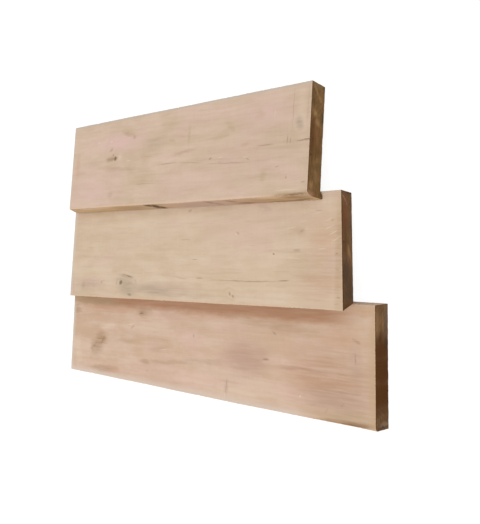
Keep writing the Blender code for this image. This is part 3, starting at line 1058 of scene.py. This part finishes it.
    def worn(self, colour):
        """Wear along the arrises, and shade in the crack."""
        near_arris = self.ramp(self.from_arris, 2.4, 0.0)
        ragged = self.vector("MULTIPLY", self.mm, (0.35, 0.5, 0.5))
        ragged = self.noise(ragged, detail=3.0, roughness=0.65)
        wear = self.times(near_arris, self.minus(1.0, self.on_end))
        for span, kind in (((0.45, 0.65), "pale"), ((0.45, 0.3), "line")):
            here = self.times(wear, self.ramp(ragged, *span), 0.4)
            colour = self.mix(here, colour, tone(kind))
        return self.mix(self.times(self.in_crack, 0.9), colour, srgb(*CRACK_SHADE))

    def roughness(self):
        """Duller ends, and knots and lines that shine a little more."""
        rough = self.add(0.74, self.times(self.fine, 0.16), self.times(self.on_end, 0.08))
        return self.minus(rough, self.times(self.dark, 0.18))

    def bump(self):
        height = self.add(
            self.times(self.medium, 0.35),
            self.times(self.fine, 0.5),
            self.times(self.fibre, 0.4),
            self.times(self.speckle, self.add(self.times(self.on_end, 0.9), 0.25)),
        )
        bump = {"Height": height, "Strength": 0.35, "Distance": 0.0006}
        return self.node("Bump", bump).outputs[0]


def wood_material(plank, look):
    wood = Wood(plank, look)
    colour = wood.face_colour()
    colour = wood.mix(wood.on_edge, colour, wood.edge_colour())
    colour = wood.mix(wood.on_end, colour, wood.end_colour())
    inputs = {
        "Base Color": wood.worn(colour),
        "Roughness": wood.roughness(),
        "Normal": wood.bump(),
        "Specular IOR Level": 0.25,
    }
    for socket, value in inputs.items():
        wood.give(wood.shader.inputs[socket], value)
    return wood.material


# ---------------------------------------------------------------- floor, light and camera

# The floor as light finds it: its greys, light and cloudy. As the camera sees it: a glow
# and a darker grey, so that it is white but keeps the shadow. The cover is how far up
# something hides the floor, and how much of the view above it has to be open for the glow.
FLOOR_SIZE = 14.0
FLOOR_ALBEDO = 0.8
FLOOR_CLOUD = 0.98
FLOOR_GLOW = 0.93
FLOOR_SEEN_ALBEDO = 0.16
COVER_REACH = 0.1
COVER_SPAN = (0.02, 0.12)
WORLD_LEVEL = 0.74
KEY_LEVEL = 0.30
KEY_FROM = Vector((0.0, -0.35, 1.0))
KEY_DISTANCE = 2.6
KEY_SIZE = 0.9

CAMERA_PLACE = Vector((0.764906, 0.037562, 0.738513))
CAMERA_RIGHT = Vector((0.732252, -0.034504, -0.680159))
CAMERA_UP = Vector((0.037827, 0.999235, -0.009966))
CAMERA_BACK = Vector((0.679982, -0.018430, 0.732997))
LENS = 47.2766
SHIFT = (0.008026, -0.098489)
SENSOR = 36.0


def grey(level):
    return (level, level, level, 1.0)


def seen_ray(nodes, links):
    """1 for rays from the camera, and for reflections and glass, else 0."""
    path = nodes.new("ShaderNodeLightPath")
    total = path.outputs["Is Camera Ray"]
    for name in ("Is Glossy Ray", "Is Transmission Ray"):
        node = nodes.new("ShaderNodeMath")
        node.operation = "MAXIMUM"
        links.new(total, node.inputs[0])
        links.new(path.outputs[name], node.inputs[1])
        total = node.outputs[0]
    return total


def make_floor():
    graph = Graph("pale_floor")
    nodes, links = graph.tree.nodes, graph.tree.links
    nodes.remove(graph.shader)
    place = graph.node("TexCoord").outputs["Object"]
    cloud = graph.noise(place, scale=3.0, detail=2.0)
    cloud = graph.mix(cloud, grey(FLOOR_ALBEDO), grey(FLOOR_ALBEDO * FLOOR_CLOUD))
    plain = graph.node("BsdfDiffuse", {"Color": cloud})
    seen = graph.node("BsdfDiffuse", {"Color": grey(FLOOR_SEEN_ALBEDO)})
    # Under the planks the floor stays dark, so a slit between two of them shows no white
    cover = graph.node("AmbientOcclusion", {"Distance": COVER_REACH}, samples=32)
    strength = graph.ramp(cover.outputs["AO"], *COVER_SPAN, 0.0, FLOOR_GLOW)
    glow = graph.node("Emission", {"Color": grey(1.0), "Strength": strength})
    white = graph.node("AddShader", {0: seen.outputs[0], 1: glow.outputs[0]})
    seen = seen_ray(nodes, links)
    mixed = graph.node("MixShader", {0: seen, 1: plain.outputs[0], 2: white.outputs[0]})
    links.new(mixed.outputs[0], nodes["Material Output"].inputs["Surface"])
    mesh = bpy.data.meshes.new("floor")
    half = FLOOR_SIZE / 2
    corners = ((-half, -half, 0.0), (half, -half, 0.0), (half, half, 0.0), (-half, half, 0.0))
    mesh.from_pydata(corners, [], [(0, 1, 2, 3)])
    mesh.materials.append(graph.material)
    floor = bpy.data.objects.new("floor", mesh)
    bpy.context.scene.collection.objects.link(floor)


def make_world():
    world = bpy.data.worlds.new("studio")
    world.use_nodes = True
    nodes, links = world.node_tree.nodes, world.node_tree.links
    background = nodes["Background"]
    background.inputs["Color"].default_value = grey(1.0)
    level = nodes.new("ShaderNodeMapRange")
    links.new(seen_ray(nodes, links), level.inputs["Value"])
    level.inputs["To Min"].default_value = WORLD_LEVEL
    level.inputs["To Max"].default_value = 1.0
    links.new(level.outputs[0], background.inputs["Strength"])
    bpy.context.scene.world = world


def make_key():
    data = bpy.data.lights.new("key", "AREA")
    data.shape = "DISK"
    data.size = KEY_SIZE
    away = KEY_FROM.normalized()
    data.energy = KEY_LEVEL * math.pi**2 * KEY_DISTANCE**2 / away.z
    key = bpy.data.objects.new("key", data)
    key.location = away * KEY_DISTANCE
    key.rotation_euler = away.to_track_quat("Z", "Y").to_euler()
    bpy.context.scene.collection.objects.link(key)


def make_camera():
    data = bpy.data.cameras.new("camera")
    data.sensor_width = SENSOR
    data.lens = LENS
    data.shift_x, data.shift_y = SHIFT
    data.clip_start, data.clip_end = 0.01, 100.0
    camera = bpy.data.objects.new("camera", data)
    turn = Matrix((CAMERA_RIGHT, CAMERA_UP, CAMERA_BACK)).transposed()
    camera.matrix_world = Matrix.Translation(CAMERA_PLACE) @ turn.to_4x4()
    bpy.context.scene.collection.objects.link(camera)
    bpy.context.scene.camera = camera


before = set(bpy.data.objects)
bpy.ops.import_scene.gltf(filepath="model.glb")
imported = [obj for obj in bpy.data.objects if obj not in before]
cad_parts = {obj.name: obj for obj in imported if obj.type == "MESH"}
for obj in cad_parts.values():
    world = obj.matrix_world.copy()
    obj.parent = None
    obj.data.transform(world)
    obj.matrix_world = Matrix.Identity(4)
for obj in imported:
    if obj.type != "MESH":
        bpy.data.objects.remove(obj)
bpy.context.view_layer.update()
bpy.context.scene.view_settings.view_transform = "Standard"
make_camera()
make_world()
make_key()
make_floor()
for plank in (TOP, MIDDLE, BOTTOM):
    make_plank(plank, wood_material(plank, LOOKS[plank.node]))
